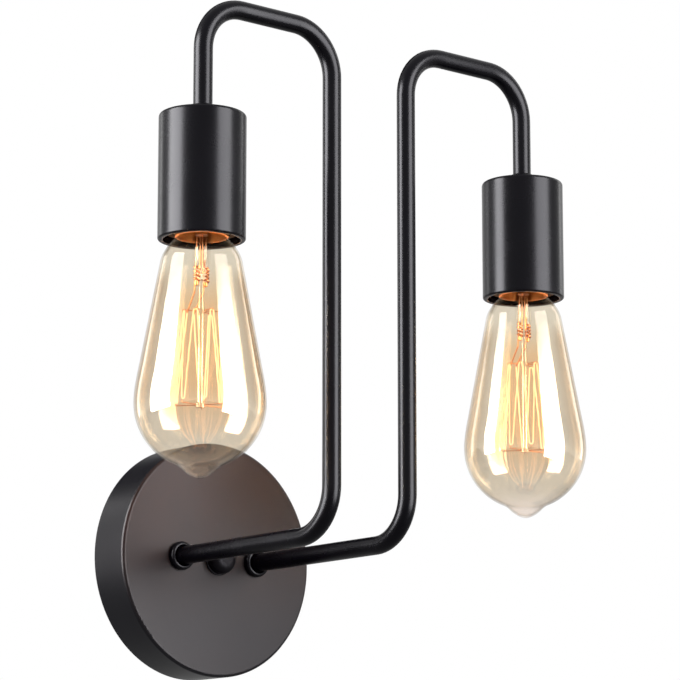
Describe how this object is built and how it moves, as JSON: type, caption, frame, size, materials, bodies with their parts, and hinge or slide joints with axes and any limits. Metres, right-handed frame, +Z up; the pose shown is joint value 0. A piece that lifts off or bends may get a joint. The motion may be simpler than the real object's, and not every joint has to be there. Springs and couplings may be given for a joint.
{
  "type": "wall light",
  "caption": "Industrial pipe wall light: round canopy, bent pipe arms, plain black cups and pear-shaped screw lamps with a cage filament.",
  "frame": {"origin": "centre of the canopy rim, on the wall plane", "axes": "+X right along the wall, -Y out into the room, +Z up"},
  "size_m": [0.279, 0.18, 0.3227],
  "materials": {
    "canopy_paint": "satin dark bronze paint",
    "black_paint": "satin black paint",
    "zinc_steel": "zinc plated",
    "brass": "stamped, uncoated",
    "lamp_cap_brass": "rolled cap, copper toned",
    "holder_moulding": "moulded thermoset",
    "green_screw": "green earth screw",
    "bare_copper": "bare copper",
    "connector_plastic": "moulded",
    "black_insulation": "lead insulation",
    "white_insulation": "lead insulation",
    "black_glass": "fused black glass",
    "solder": "soldered contact",
    "amber_glass": "pale amber, clear",
    "clear_glass": "clear",
    "filament": "glowing carbon thread",
    "copper_wire": "copper support wire"
  },
  "bodies": {
    "root": {"canopy": "canopy_paint", "wall_bracket": "zinc_steel", "centre_stud": "zinc_steel", "stud_nut": "zinc_steel", "ground_screw": "green_screw", "ground_lead": "bare_copper", "wire_connectors": "connector_plastic", "arm_left": "black_paint", "arm_collar_left": "black_paint", "arm_washer_left": "zinc_steel", "arm_nut_left": "zinc_steel", "hot_lead_left": "black_insulation", "neutral_lead_left": "white_insulation", "holder_body_left": "holder_moulding", "terminal_screws_left": "brass", "cup_left": "black_paint", "cup_collar_left": "black_paint", "cup_nut_left": "zinc_steel", "holder_yoke_left": "zinc_steel", "screw_shell_left": "brass", "centre_spring_left": "brass", "arm_right": "black_paint", "arm_collar_right": "black_paint", "arm_washer_right": "zinc_steel", "arm_nut_right": "zinc_steel", "hot_lead_right": "black_insulation", "neutral_lead_right": "white_insulation", "holder_body_right": "holder_moulding", "terminal_screws_right": "brass", "cup_right": "black_paint", "cup_collar_right": "black_paint", "cup_nut_right": "zinc_steel", "holder_yoke_right": "zinc_steel", "screw_shell_right": "brass", "centre_spring_right": "brass"},
    "finial_washer": {"finial_washer": "black_paint"},
    "finial_knob": {"finial": "black_paint"},
    "lamp_contact_left": {"bulb_contact_left": "solder"},
    "lamp_left": {"bulb_cap_left": "lamp_cap_brass", "bulb_insulator_left": "black_glass", "bulb_glass_left": "amber_glass", "bulb_stem_left": "clear_glass", "bulb_rod_left": "clear_glass", "bulb_filament_left": "filament", "bulb_hooks_left": "copper_wire", "bulb_lead_wires_left": "copper_wire"},
    "lamp_contact_right": {"bulb_contact_right": "solder"},
    "lamp_right": {"bulb_cap_right": "lamp_cap_brass", "bulb_insulator_right": "black_glass", "bulb_glass_right": "amber_glass", "bulb_stem_right": "clear_glass", "bulb_rod_right": "clear_glass", "bulb_filament_right": "filament", "bulb_hooks_right": "copper_wire", "bulb_lead_wires_right": "copper_wire"}
  },
  "joints": [
    {"name": "lamp_left_travel", "type": "slide", "parent": "root", "child": "lamp_contact_left", "axis": [0, 0, -1], "range_m": [0, 0.01816]},
    {"name": "lamp_left_turn", "type": "hinge", "parent": "lamp_contact_left", "child": "lamp_left", "pos_m": [-0.1075, -0.148, 0.1355], "axis": [0, 0, -1], "range_deg": [0, 1800]},
    {"name": "lamp_right_travel", "type": "slide", "parent": "root", "child": "lamp_contact_right", "axis": [0, 0, -1], "range_m": [0, 0.01816]},
    {"name": "lamp_right_turn", "type": "hinge", "parent": "lamp_contact_right", "child": "lamp_right", "pos_m": [0.1075, -0.148, 0.1355], "axis": [0, 0, -1], "range_deg": [0, 1800]},
    {"name": "finial_travel", "type": "slide", "parent": "root", "child": "finial_washer", "axis": [0, -1, 0], "range_m": [0, 0.00376]},
    {"name": "finial_turn", "type": "hinge", "parent": "finial_washer", "child": "finial_knob", "pos_m": [0, -0.026, 0], "axis": [0, -1, 0], "range_deg": [0, 1440]}
  ],
  "couplings": [
    {"joint": "lamp_left_travel", "follows": "lamp_left_turn", "m_per_rad": 0.00057757},
    {"joint": "lamp_right_travel", "follows": "lamp_right_turn", "m_per_rad": 0.00057757},
    {"joint": "finial_turn", "follows": "finial_travel", "rad_per_m": 6684.2}
  ]
}
